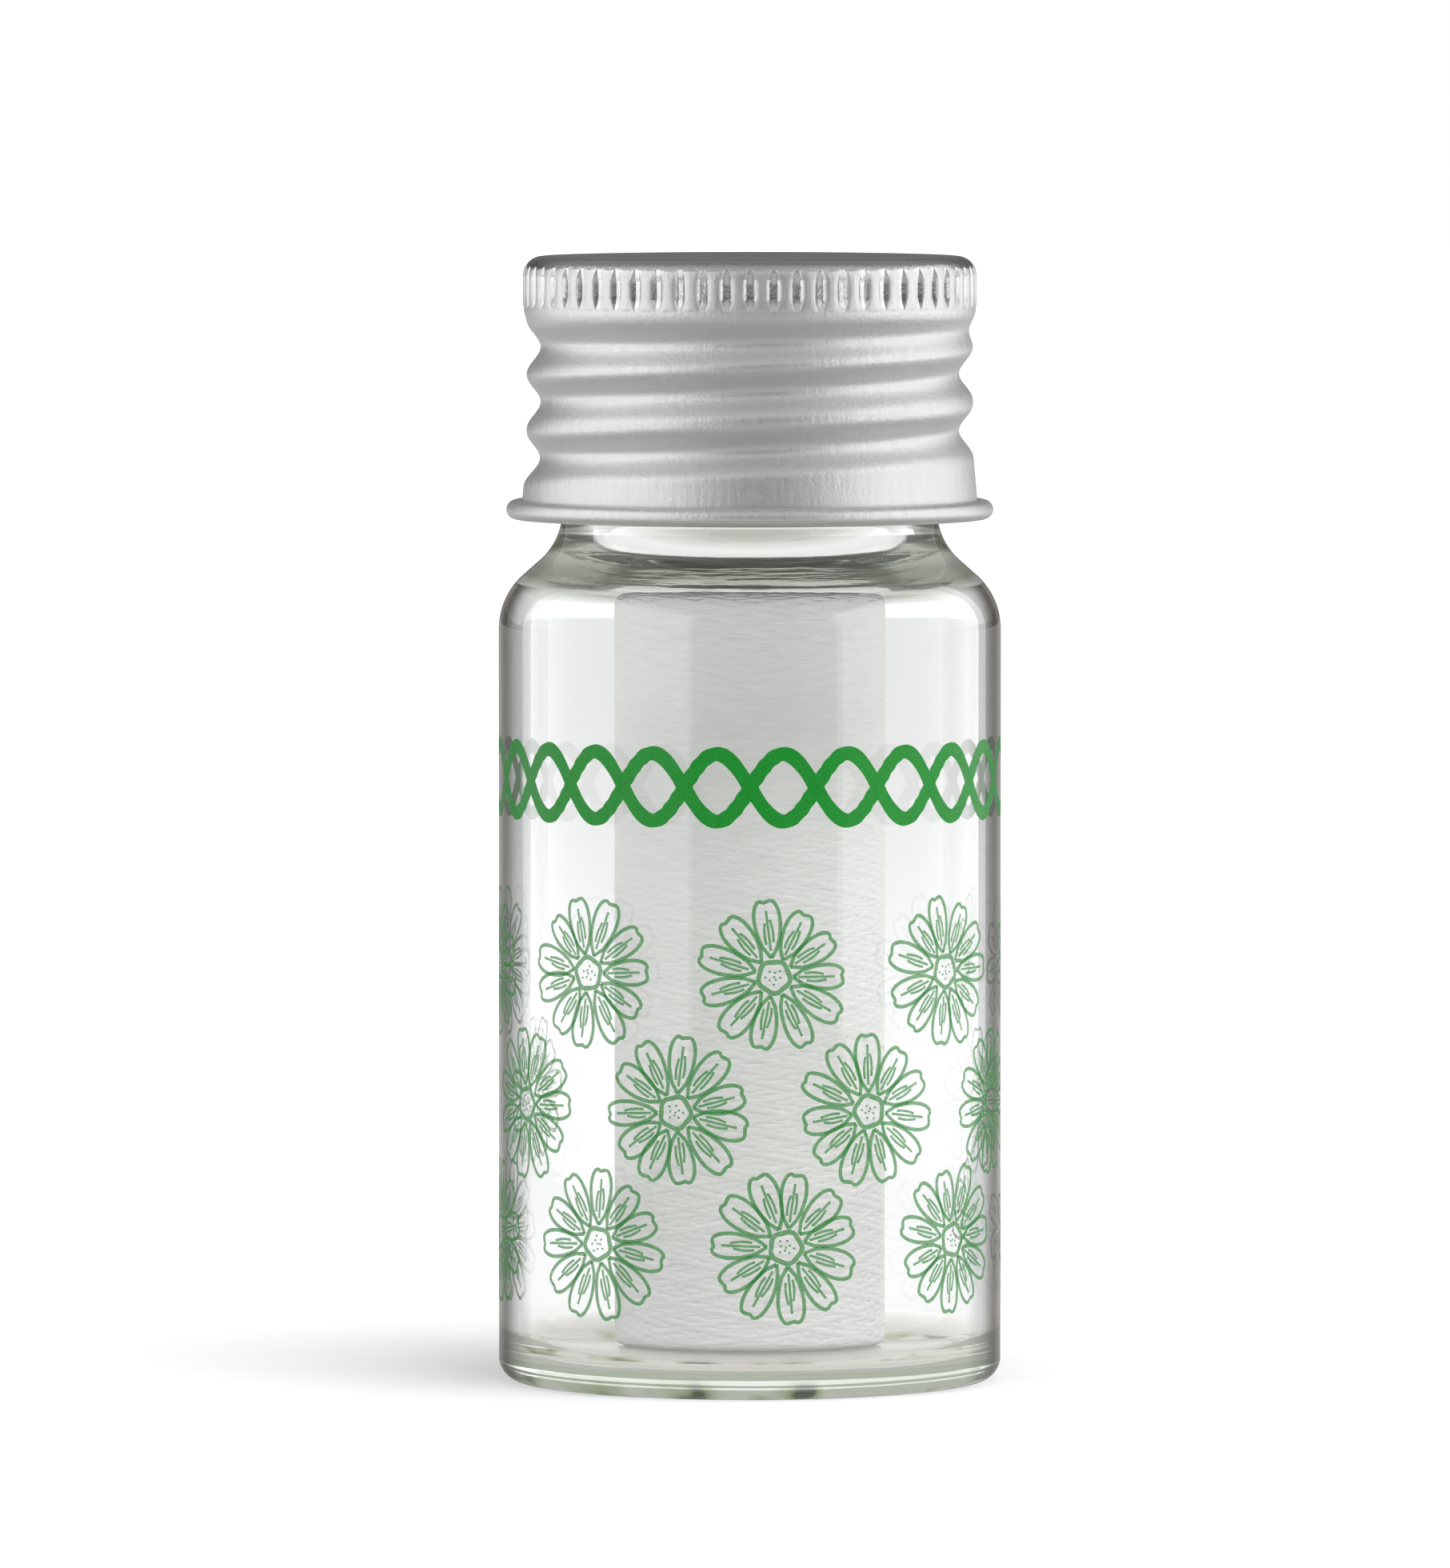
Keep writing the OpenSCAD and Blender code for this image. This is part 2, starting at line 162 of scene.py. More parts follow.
# How far the screw ridge stands out of the finish, at an angle and a height
def ridge_rise(angle, z):
    rise = 0
    for turn in (-2, -1, 0, 1):
        a = angle + 360 * turn
        fade = ease(min(a - ridge_from, ridge_to - a) / ridge_fade)
        x = abs(z - (thread_z - ridge_seat + pitch * a / 360)) / (ridge_w / 2)
        rise += ridge_h * fade * ease((1 - x) / ridge_slope)
    return rise


def vial_mesh(material):
    profile = vial_profile()
    points = []
    for r, z in profile:
        threaded = waist_r <= r <= finish_r and ridge_low_z < z < vial_h - rim_round / 2
        for i in range(vial_sides):
            angle = 360 * i / vial_sides
            rr = r + (ridge_rise(angle, z) if threaded else 0)
            a = math.radians(angle)
            points.append((rr * math.cos(a), rr * math.sin(a), z))
    faces = ring_faces(0, len(profile), vial_sides)
    under = len(points)
    points += [(0, 0, punt_h), (0, 0, floor_z)]
    last = (len(profile) - 1) * vial_sides
    for i in range(vial_sides):
        j = (i + 1) % vial_sides
        faces.append((under, j, i))
        faces.append((under + 1, last + i, last + j))
    return mesh_piece("vial_glass", points, faces, material)


def math_node(nodes, links, operation, a, b):
    step = nodes.new("ShaderNodeMath")
    step.operation = operation
    for i, value in enumerate((a, b)):
        if isinstance(value, (int, float)):
            step.inputs[i].default_value = value
        else:
            links.new(value, step.inputs[i])
    return step.outputs["Value"]


def vector_node(nodes, links, operation, vector, by=None):
    step = nodes.new("ShaderNodeVectorMath")
    step.operation = operation
    links.new(vector, step.inputs[0])
    if by:
        step.inputs[1].default_value = by
    return step.outputs["Value" if operation == "LENGTH" else "Vector"]


# A value carried from one span onto another, and held at both ends
def spread(nodes, links, value, from_min, from_max, to_min, to_max):
    step = nodes.new("ShaderNodeMapRange")
    step.inputs["From Min"].default_value = from_min
    step.inputs["From Max"].default_value = from_max
    step.inputs["To Min"].default_value = to_min
    step.inputs["To Max"].default_value = to_max
    links.new(value, step.inputs["Value"])
    return step.outputs["Result"]


def shades(nodes, links, value, stops):
    ramp = nodes.new("ShaderNodeValToRGB")
    first, last = ramp.color_ramp.elements
    first.position, first.color = stops[0][0], (*stops[0][1], 1)
    last.position, last.color = stops[-1][0], (*stops[-1][1], 1)
    for at, colour in stops[1:-1]:
        ramp.color_ramp.elements.new(at).color = (*colour, 1)
    links.new(value, ramp.inputs["Fac"])
    return ramp.outputs["Color"]


def tinted(nodes, links, factor, a, b, blend="MIX"):
    mix = nodes.new("ShaderNodeMix")
    mix.data_type = "RGBA"
    mix.blend_type = blend
    links.new(factor, mix.inputs["Factor"])
    for i, colour in ((6, a), (7, b)):
        if isinstance(colour, tuple):
            mix.inputs[i].default_value = (*colour, 1)
        else:
            links.new(colour, mix.inputs[i])
    return mix.outputs[2]


def relief(nodes, links, shader, height, distance, strength=1.0):
    bump = nodes.new("ShaderNodeBump")
    bump.inputs["Distance"].default_value = distance
    bump.inputs["Strength"].default_value = strength
    links.new(height, bump.inputs["Height"])
    links.new(bump.outputs["Normal"], shader.inputs["Normal"])
    return bump


# Where a point lies on the part, in metres: its height, and its distance from the vial's axis
def place_group():
    group = bpy.data.node_groups.new("place_on_part", "ShaderNodeTree")
    for name in ("Height", "Radius"):
        group.interface.new_socket(name, in_out="OUTPUT", socket_type="NodeSocketFloat")
    nodes, links = group.nodes, group.links
    place = nodes.new("ShaderNodeTexCoord")
    parts = nodes.new("ShaderNodeSeparateXYZ")
    links.new(place.outputs["Object"], parts.inputs["Vector"])
    level = vector_node(nodes, links, "MULTIPLY", place.outputs["Object"], (1, 1, 0))
    ends = nodes.new("NodeGroupOutput")
    links.new(parts.outputs["Z"], ends.inputs["Height"])
    links.new(vector_node(nodes, links, "LENGTH", level), ends.inputs["Radius"])
    return group


# A noise that is drawn out along an axis: streaks in glass, fibres in floss, the grain of metal
def grain_group():
    group = bpy.data.node_groups.new("drawn_grain", "ShaderNodeTree")
    group.interface.new_socket("Fineness", in_out="INPUT", socket_type="NodeSocketVector")
    group.interface.new_socket("Detail", in_out="INPUT", socket_type="NodeSocketFloat")
    group.interface.new_socket("Grain", in_out="OUTPUT", socket_type="NodeSocketFloat")
    nodes, links = group.nodes, group.links
    asked = nodes.new("NodeGroupInput")
    place = nodes.new("ShaderNodeTexCoord")
    stretch = nodes.new("ShaderNodeMapping")
    links.new(place.outputs["Object"], stretch.inputs["Vector"])
    links.new(asked.outputs["Fineness"], stretch.inputs["Scale"])
    noise = nodes.new("ShaderNodeTexNoise")
    noise.inputs["Scale"].default_value = 1.0
    links.new(stretch.outputs["Vector"], noise.inputs["Vector"])
    links.new(asked.outputs["Detail"], noise.inputs["Detail"])
    ends = nodes.new("NodeGroupOutput")
    links.new(noise.outputs["Fac"], ends.inputs["Grain"])
    return group


place_on_part = place_group()
drawn_grain = grain_group()


def place_of(nodes):
    node = nodes.new("ShaderNodeGroup")
    node.node_tree = place_on_part
    return node.outputs["Height"], node.outputs["Radius"]


def grain_of(nodes, fineness, detail):
    node = nodes.new("ShaderNodeGroup")
    node.node_tree = drawn_grain
    node.inputs["Fineness"].default_value = fineness
    node.inputs["Detail"].default_value = detail
    return node.outputs["Grain"]


# Painted shade on the glass, from where it faces the eye to where it is seen edge on
body_edge_painted_shade = (
    (0.5, (0.985, 0.99, 0.99)), (0.555, (0.68, 0.68, 0.69)), (0.595, (0.5, 0.5, 0.51)),
    (0.645, (0.32, 0.32, 0.32)), (0.7, (0.11, 0.11, 0.105)), (0.76, (0.035, 0.03, 0.025)),
    (0.82, (0.05, 0.045, 0.035)), (0.89, (0.22, 0.2, 0.17)), (0.98, (0.45, 0.43, 0.4)))
neck_edge_painted_shade = (
    (0.42, (0.985, 0.992, 0.988)), (0.48, (0.4, 0.41, 0.38)), (0.6, (0.13, 0.14, 0.11)),
    (0.8, (0.12, 0.13, 0.1)), (0.98, (0.48, 0.5, 0.44)))
foot_painted_patches = (
    (0.38, (0.04, 0.045, 0.03)), (0.42, (0.3, 0.36, 0.18)), (0.48, (0.6, 0.7, 0.5)),
    (0.52, (0.97, 0.985, 0.95)), (0.64, (0.99, 0.99, 0.98)))
shoulder_painted_shade = (0.39, 0.4, 0.33)
depth_green = (0.84, 0.93, 0.83)
painted_glow_tone = (0.9, 0.9, 0.82)
shadow_tone = (0.95, 0.948, 0.95)

# Heights and radii over which the painted shades and the shoulder's streaks set in, in metres
neck_up = (0.0455, 0.0468)
neck_out = (0.0092, 0.0098)
body_out = (0.01285, 0.0131)
streaks_in = (0.0443, 0.0447)
streaks_off = (0.0455, 0.0461)
painted_foot_off = (0.0005, 0.0013)
painted_foot_out = (0.0124, 0.0127)


# Shadow and diffuse rays go straight through, so that what stands in the vial is lit cleanly, and
# where light is caught inside the glass after four turns, the glass glows in a painted pale light, not black.
# Towards its edges, where the wall is seen along its length, the glass's colour is darkened in painted
# shade, and on the thick neck this sets in sooner. The level part of the normal tells how far round an
# edge is. The shoulder, which was formed hot, is streaky, with painted grey-green shade in its streaks,
# and its surface waves.
def glass_material():
    material, nodes, links, glass = new_material("soda_glass")
    glass.inputs["Roughness"].default_value = 0.0
    glass.inputs["IOR"].default_value = 1.5
    glass.inputs["Metallic"].default_value = 0.0
    glass.inputs["Transmission Weight"].default_value = 1.0
    height, radius = place_of(nodes)
    surface = nodes.new("ShaderNodeTexCoord")
    level = vector_node(nodes, links, "MULTIPLY", surface.outputs["Normal"], (1, 1, 0))
    facing = nodes.new("ShaderNodeLayerWeight")
    facing.inputs["Blend"].default_value = 0.5
    links.new(vector_node(nodes, links, "NORMALIZE", level), facing.inputs["Normal"])
    raised = spread(nodes, links, height, *neck_up, 0, 1)
    neck_side = math_node(nodes, links, "MULTIPLY", raised, spread(nodes, links, radius, *neck_out, 0, 1))
    outer = math_node(nodes, links, "MAXIMUM", neck_side, spread(nodes, links, radius, *body_out, 0, 1))
    upright = spread(nodes, links, vector_node(nodes, links, "LENGTH", level), 0.35, 0.75, 0, 1)
    wall = math_node(nodes, links, "MULTIPLY", outer, upright)
    # Painted shade: the glass's colour darkens towards its edges, sooner on the neck
    edge = math_node(nodes, links, "MULTIPLY", facing.outputs["Facing"], wall)
    body_painted_shade = shades(nodes, links, edge, body_edge_painted_shade)
    neck_painted_shade = shades(nodes, links, edge, neck_edge_painted_shade)
    glass_painted_shade = tinted(nodes, links, neck_side, body_painted_shade, neck_painted_shade)
    streaks = grain_of(nodes, (160, 160, 2600), 4)
    band_low = spread(nodes, links, height, *streaks_in, 0, 1)
    band_high = spread(nodes, links, height, *streaks_off, 1, 0)
    band = math_node(nodes, links, "MINIMUM", band_low, band_high)
    # Painted shade: the shoulder's band is darkened and greened along its streaks
    shoulder_shade_mask = math_node(nodes, links, "MULTIPLY", band, spread(nodes, links, streaks, 0.3, 0.6, 0.75, 1))
    glass_painted_shade = tinted(nodes, links, shoulder_shade_mask, glass_painted_shade, shoulder_painted_shade, "MULTIPLY")
    # Painted shade and light at the foot: dark, olive and pale patches for what the thick base shows bent
    painted_foot_tone = shades(nodes, links, grain_of(nodes, (230, 230, 230), 2), foot_painted_patches)
    low = spread(nodes, links, height, *painted_foot_off, 1, 0)
    foot = math_node(nodes, links, "MULTIPLY", low, spread(nodes, links, radius, *painted_foot_out, 0, 1))
    links.new(tinted(nodes, links, foot, glass_painted_shade, painted_foot_tone, "MULTIPLY"), glass.inputs["Base Color"])
    bump = relief(nodes, links, glass, streaks, 0.0001)
    links.new(spread(nodes, links, band, 0, 1, 0.02, 0.12), bump.inputs["Strength"])
    clear = nodes.new("ShaderNodeBsdfTransparent")
    clear.inputs["Color"].default_value = (*shadow_tone, 1)
    path = nodes.new("ShaderNodeLightPath")
    shadow, diffuse = path.outputs["Is Shadow Ray"], path.outputs["Is Diffuse Ray"]
    straight = math_node(nodes, links, "MAXIMUM", shadow, diffuse)
    mix = nodes.new("ShaderNodeMixShader")
    links.new(straight, mix.inputs["Fac"])
    links.new(glass.outputs["BSDF"], mix.inputs[1])
    links.new(clear.outputs["BSDF"], mix.inputs[2])
    # Painted light: after four mirror turns the glass glows pale, though it is no lamp
    painted_glow = nodes.new("ShaderNodeEmission")
    painted_glow.inputs["Color"].default_value = (*painted_glow_tone, 1)
    painted_glow.inputs["Strength"].default_value = 0.55
    last = nodes.new("ShaderNodeMixShader")
    caught = math_node(nodes, links, "GREATER_THAN", path.outputs["Glossy Depth"], 3.5)
    links.new(caught, last.inputs["Fac"])
    links.new(mix.outputs["Shader"], last.inputs[1])
    links.new(painted_glow.outputs["Emission"], last.inputs[2])
    links.new(last.outputs["Shader"], nodes["Material Output"].inputs["Surface"])
    depth = nodes.new("ShaderNodeVolumeAbsorption")
    depth.inputs["Color"].default_value = (*depth_green, 1)
    depth.inputs["Density"].default_value = 22
    links.new(depth.outputs["Volume"], nodes["Material Output"].inputs["Volume"])
    return material


vial = vial_mesh(glass_material())
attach(vial, "vial")
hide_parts("glass_vial")


# The print: one green ceramic ink, screened onto the glass and fired. A plain double wave runs
# across the front over three staggered rows of line-drawn daisies that run on past the sides.
# Lines are drawn on the unrolled wall, in millimetres along and up, then laid on the glass.
print_r = 13.999
line_wobble = 0.05
daisy_rows = [(23.4, 0.12), (15.9, 0.62), (8.5, 0.18)]
daisies_round = 8
daisy_reach = 112
daisy_r = 4.35
heart_r = 0.86
heart_wave = 0.05
heart_line = 0.272
dots = 9
dot_step = 0.17
dot_half = 0.06
dot_line = 0.12
petals = 11
petal_from = 1.05
petal_notch = 0.16
petal_width = 0.2108
veins = ((-0.24, 0.45, 0.74), (0, 0.34, 0.86), (0.24, 0.42, 0.7))
vein_line = 0.1445
waves = 12
wave_z = 33.8
wave_rise = 1.85
wave_reach = 86
wave_line = 0.8
wave_steps = 720
ink_dark = (0.003, 0.2, 0.013)
ink_light = (0.008, 0.27, 0.028)
ink = random.Random(11)


def lay_line(points, faces, line, width, closed=False):
    n = len(line)
    first = len(points)
    for i, (u, v) in enumerate(line):
        p = line[(i - 1) % n] if closed or i > 0 else line[i]
        q = line[(i + 1) % n] if closed or i < n - 1 else line[i]
        dx, dy = q[0] - p[0], q[1] - p[1]
        size = math.hypot(dx, dy) or 1
        w = width / 2 * (1 + line_wobble * math.sin(u * 5.1 + v * 7.3))
        for side in (-1, 1):
            a = (u - side * dy / size * w) / print_r
            z = v + side * dx / size * w
            points.append((print_r * math.sin(a), -print_r * math.cos(a), z))
    for i in range(n if closed else n - 1):
        a = first + 2 * i
        b = first + 2 * ((i + 1) % n)
        faces.append((a, b, b + 1, a + 1))


def petal_line(cx, cz, turn, inner, outer, half_width, steps=22):
    line = []
    for i in range(steps + 1):
        t = i / steps
        side = -1 if t < 0.5 else 1
        along = 1 - abs(2 * t - 1)
        reach = inner + (outer - inner) * math.sin(along * math.pi / 2) ** 0.9
        across = side * half_width * math.sin(math.pi * min(1, along ** 0.8 * 0.98)) ** 0.75
        reach -= petal_notch * (1 - min(1, abs(t - 0.5) * 16))
        c, s = math.cos(turn), math.sin(turn)
        line.append((cx + reach * c - across * s, cz + reach * s + across * c))
    return line


def lay_daisy(points, faces, cx, cz):
    turn = ink.uniform(0, 2 * math.pi)
    heart = []
    for i in range(28):
        a = 2 * math.pi * i / 28
        r = heart_r + heart_wave * math.sin(5 * a + turn)
        heart.append((cx + r * math.cos(a), cz + r * math.sin(a)))
    lay_line(points, faces, heart, heart_line, closed=True)
    for i in range(dots):
        a = turn + 2.4 * i
        r = dot_step * math.sqrt(i)
        u, v = cx + r * math.cos(a), cz + r * math.sin(a)
        lay_line(points, faces, [(u - dot_half, v), (u + dot_half, v)], dot_line)
    for p in range(petals):
        a = turn + 2 * math.pi * (p + ink.uniform(-0.08, 0.08)) / petals
        outer = daisy_r * ink.uniform(0.9, 1.0)
        half = ink.uniform(0.66, 0.78)
        lay_line(points, faces, petal_line(cx, cz, a, petal_from, outer, half), petal_width)
        for off, start, stop in veins:
            vein = []
            for i in range(8):
                d = outer * (start + (stop - start) * i / 7)
                bend = off * math.sin(math.pi * (0.3 + 0.5 * i / 7))
                u = cx + d * math.cos(a) - bend * math.sin(a)
                v = cz + d * math.sin(a) + bend * math.cos(a)
                vein.append((u, v))
            lay_line(points, faces, vein, vein_line)


def print_mesh(material):
    points, faces = [], []
    for z, shift in daisy_rows:
        for k in range(daisies_round):
            way = (k + shift) / daisies_round
            if way > 0.5:
                way -= 1
            if abs(way) <= daisy_reach / 360:
                lay_daisy(points, faces, way * 2 * math.pi * vial_r, z)
    for phase in (0, math.pi):
        wave = []
        for i in range(wave_steps + 1):
            a = math.radians(wave_reach * (2 * i / wave_steps - 1))
            wave.append((a * vial_r, wave_z + wave_rise * math.sin(waves * a + phase)))
        lay_line(points, faces, wave, wave_line)
    return mesh_piece("vial_print", points, faces, material)


# The fine drawing is laid on thinner than the bold wave over it
def ink_material():
    material, nodes, links, shader = new_material("green_ink")
    grain = grain_of(nodes, (9000, 9000, 9000), 3)
    links.new(shades(nodes, links, grain, ((0.35, ink_dark), (0.65, ink_light))), shader.inputs["Base Color"])
    hold = spread(nodes, links, grain, 0.3, 0.4, 0.85, 1)
    thin = spread(nodes, links, place_of(nodes)[0], 0.0285, 0.029, 0.78, 1)
    links.new(math_node(nodes, links, "MULTIPLY", hold, thin), shader.inputs["Alpha"])
    shader.inputs["Roughness"].default_value = 0.3
    shader.inputs["Specular IOR Level"].default_value = 0.25
    return material


vial_print = print_mesh(ink_material())
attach(vial_print, "vial")


# The bobbin: one long strand of white floss, cross-wound into a tube without a spool. It stands
# loose on the vial's floor, and its last traverses lie open to view.
# The strand runs on round the tube while it travels up and down, so its turns cross.
bobbin_r = 7.55
bobbin_low = 1.5
bobbin_high = 44.8
bobbin_bore = 2.5
rim_in = 1.2
packed_r = 7.45
packed_in = 0.05
bore_in = 0.25
packed_sides = 180
traverses = 72
turns_up = 4.9
turn_steps = 60
golden_turn = 0.381966
turn_back = 0.06
strand_w = 0.6
strand_t = 0.085
strand_crown = 0.01
strand_sides = 8
strand_sway = 0.05
under_lift = -0.03
end_sink = 0.3
end_steps = 20
floss_dark = (0.82, 0.805, 0.79)
floss_light = (0.9, 0.89, 0.88)


def bobbin_line(z):
    end = min(z - bobbin_low, bobbin_high - z)
    end = max(0, end)
    if end >= rim_in:
        return bobbin_r
    return bobbin_r - rim_in + math.sqrt(max(0, rim_in ** 2 - (rim_in - end) ** 2))


def strand_mesh(material):
    draw = random.Random(5)
    centre = []
    start = 0.0
    for k in range(traverses):
        inset = draw.uniform(0.12, 0.55)
        low = bobbin_low + strand_w / 2 + inset * 0.5
        high = bobbin_high - strand_w / 2 - inset * 0.5
        lift = under_lift * (1 - k / traverses)
        count = int(turns_up * turn_steps)
        for i in range(count):
            t = i / count
            if t < turn_back:
                travel = t * t / (2 * turn_back)
            elif t > 1 - turn_back:
                travel = 1 - turn_back - (1 - t) ** 2 / (2 * turn_back)
            else:
                travel = t - turn_back / 2
            travel = min(1, max(0, travel / (1 - turn_back)))
            z = low + (high - low) * (travel if k % 2 == 0 else 1 - travel)
            z += strand_sway * math.sin((0.5 - 0.5 * math.cos(math.pi * t)) * 37 + k)
            angle = start + 2 * math.pi * turns_up * t
            centre.append((angle, z, bobbin_line(z) - strand_t / 2 + lift))
        start += 2 * math.pi * (turns_up + golden_turn + draw.uniform(-0.004, 0.004))
    n = len(centre)
    points = []
    for i, (angle, z, r) in enumerate(centre):
        r -= end_sink * ease(1 - min(i, n - 1 - i) / end_steps)
        rise = centre[min(n - 1, i + 1)][1] - centre[max(0, i - 1)][1]
        lean = math.atan2(rise, 4 * math.pi / turn_steps * bobbin_r)
        for s in range(strand_sides):
            f = 2 * math.pi * s / strand_sides
            across = strand_w / 2 * math.cos(f)
            rr = r + strand_t / 2 * math.sin(f) - strand_crown * math.cos(f) ** 2
            a = angle - across * math.sin(lean) / bobbin_r
            points.append((rr * math.cos(a), rr * math.sin(a), z + across * math.cos(lean)))
    faces = ring_faces(0, n, strand_sides)
    faces.append(tuple(range(strand_sides - 1, -1, -1)))
    faces.append(tuple((n - 1) * strand_sides + i for i in range(strand_sides)))
    return mesh_piece("floss_strand", points, faces, material)


def bobbin_body(material):
    profile = [(bobbin_bore, bobbin_low + bore_in)]
    profile += arc(packed_r - rim_in, bobbin_low + packed_in + rim_in, rim_in, -90, 0, 10)
    profile += arc(packed_r - rim_in, bobbin_high - packed_in - rim_in, rim_in, 0, 90, 10)
    profile += [(bobbin_bore, bobbin_high - bore_in)]
    points = []
    for r, z in profile:
        for i in range(packed_sides):
            a = 2 * math.pi * i / packed_sides
            points.append((r * math.cos(a), r * math.sin(a), z))
    faces = ring_faces(0, len(profile), packed_sides)
    last = (len(profile) - 1) * packed_sides
    for i in range(packed_sides):
        j = (i + 1) % packed_sides
        faces.append((last + i, last + j, j, i))
    return mesh_piece("floss_body", points, faces, material, 40)


def floss_material():
    material, nodes, links, shader = new_material("white_floss")
    fibres = grain_of(nodes, (700, 700, 9000), 4)
    tone = shades(nodes, links, fibres, ((0.3, floss_dark), (0.7, floss_light)))
    links.new(tone, shader.inputs["Base Color"])
    relief(nodes, links, shader, fibres, 0.00003, 0.35)
    shader.inputs["Roughness"].default_value = 0.6
    shader.inputs["Sheen Weight"].default_value = 0.3
    shader.inputs["Sheen Roughness"].default_value = 0.4
    return material


white_floss = floss_material()
floss_strand = strand_mesh(white_floss)
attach(floss_strand, "bobbin")
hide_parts("floss_winding")
floss_body = bobbin_body(white_floss)
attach(floss_body, "bobbin")
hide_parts("floss_core")


# The plug: stainless sheet pressed into a cup that sits in the neck, with sprung tabs, a drawn
# eyelet and a lanced cutting tongue. Its flange rests on the rim of the glass.
steel_dark = (0.50, 0.50, 0.51)
steel_light = (0.66, 0.66, 0.67)


def steel_material():
    material, nodes, links, shader = new_material("pressed_steel")
    rolled = grain_of(nodes, (400, 6000, 6000), 5)
    links.new(spread(nodes, links, rolled, 0, 1, 0.18, 0.38), shader.inputs["Roughness"])
    links.new(shades(nodes, links, rolled, ((0, steel_dark), (1, steel_light))), shader.inputs["Base Color"])
    shader.inputs["Metallic"].default_value = 1.0
    return material


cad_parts["cutter_plug"].data.materials.clear()
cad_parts["cutter_plug"].data.materials.append(steel_material())


# The liner: a disc of white foam, punched out and pushed loose under the cap's panel. The
# plug's flange has pressed a shallow ring into it.
foam_skin = (0.86, 0.86, 0.84)
foam_pore = (0.76, 0.76, 0.73)


def foam_material():
    material, nodes, links, shader = new_material("white_foam")
    place = nodes.new("ShaderNodeTexCoord")
    cells = nodes.new("ShaderNodeTexVoronoi")
    cells.inputs["Scale"].default_value = 5200
    links.new(place.outputs["Object"], cells.inputs["Vector"])
    pores = cells.outputs["Distance"]
    links.new(shades(nodes, links, pores, ((0, foam_skin), (1, foam_pore))), shader.inputs["Base Color"])
    relief(nodes, links, shader, pores, 0.00005, 0.5)
    shader.inputs["Roughness"].default_value = 0.75
    return material


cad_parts["cap_liner"].data.materials.clear()
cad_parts["cap_liner"].data.materials.append(foam_material())


# The cap: one shell of aluminium sheet, drawn, then knurled round its top edge, rolled to take
# the thread of the glass, and turned out into a bead at its skirt. It screws down onto the neck.
cap_top = 62.65
cap_bottom = 48.05
cap_round = 1.0
panel_rings = (0.5, 4, 8, 10.8)
corner_steps = 15
corner_crown = 0.03
knurl_r = 12.58
knurl_z = 59.5
knurl_rows = 20
knurl_crown = 0.05
knurl_foot = 0.25
grooves = 60
groove_low = 59.9
groove_high = 62.12
groove_depth = 0.25
groove_half = 0.125
groove_flank = 42
land_shares = (0.12, 0.3, 0.5, 0.7, 0.88)
plain_half = 0.3
plain_depth = 0.12
step_h = 0.8
step_rows = 8
crest_r = 12.43
root_depth = 0.78
band_rows = 88
skirt_r = 12.67
skirt_h = 3.85
bead_h = 1.06
bead_cx = 13.03
bead_neck = 0.45
sheet_t = 0.25
shell_bore_r = 12.05
liner_z = 62.4
liner_in = 6
inner_rows = 60
aluminium = (0.7, 0.7, 0.703)

# The rolled groove: angles run on from turn to turn, and it climbs less after its first part
root_from = -640
root_from_fade = 80
root_to = 450
root_to_fade = 250
root_full_to = 150
root_slack = 0.556
root_power = 1.15


def root_cut(a, z):
    share = ease((a - root_from) / root_from_fade) * ease((root_to - a) / root_to_fade)
    if share <= 0:
        return 0
    climbed = min(a, root_full_to) + root_slack * max(0, a - root_full_to)
    root_z = thread_z - pitch / 2 + pitch * climbed / 360
    half = pitch / 2 * (0.45 + 0.55 * share)
    x = min(1, abs(z - root_z) / half)
    return root_depth * share * ((1 + math.cos(math.pi * x)) / 2) ** root_power


def shell_r(a, z):
    flare = min(1, max(0, (cap_bottom + skirt_h - z) / (skirt_h - bead_h)))
    r = crest_r + (skirt_r - crest_r) * flare
    return r - sum(root_cut(a + 360 * k, z) for k in (-2, -1, 0, 1))


# The columns of one groove: flank, floor, flank and the crowned land to the next groove
def cap_columns(half, depth):
    flank = max(0.02, depth * math.tan(math.radians(groove_flank)))
    inner = half + flank
    land = 2 * math.pi * knurl_r / grooves - 2 * inner
    return [-inner, -half, half, inner] + [inner + land * share for share in land_shares]


def cap_ring(z, radius, knurled=False, crown=0.0):
    depth = 0.0
    t = (z - groove_low) / (groove_high - groove_low)
    if knurled and 0 < t < 1:
        depth = groove_depth * min(1, math.sin(math.pi * t) * 1.15) ** 0.7
    marks = cap_columns(groove_half, depth) if knurled else cap_columns(plain_half, plain_depth)
    ring = []
    for g in range(grooves):
        for m, along in enumerate(marks):
            a = 360 * g / grooves + math.degrees(along / knurl_r)
            r = radius(a % 360) if callable(radius) else radius
            if depth > 0 and m in (1, 2):
                r -= depth
            elif depth > 0 and m > 3:
                r += crown * math.sin(math.pi * (m - 3) / (len(land_shares) + 1))
            ring.append((r * math.cos(math.radians(a)), r * math.sin(math.radians(a)), z))
    return ring


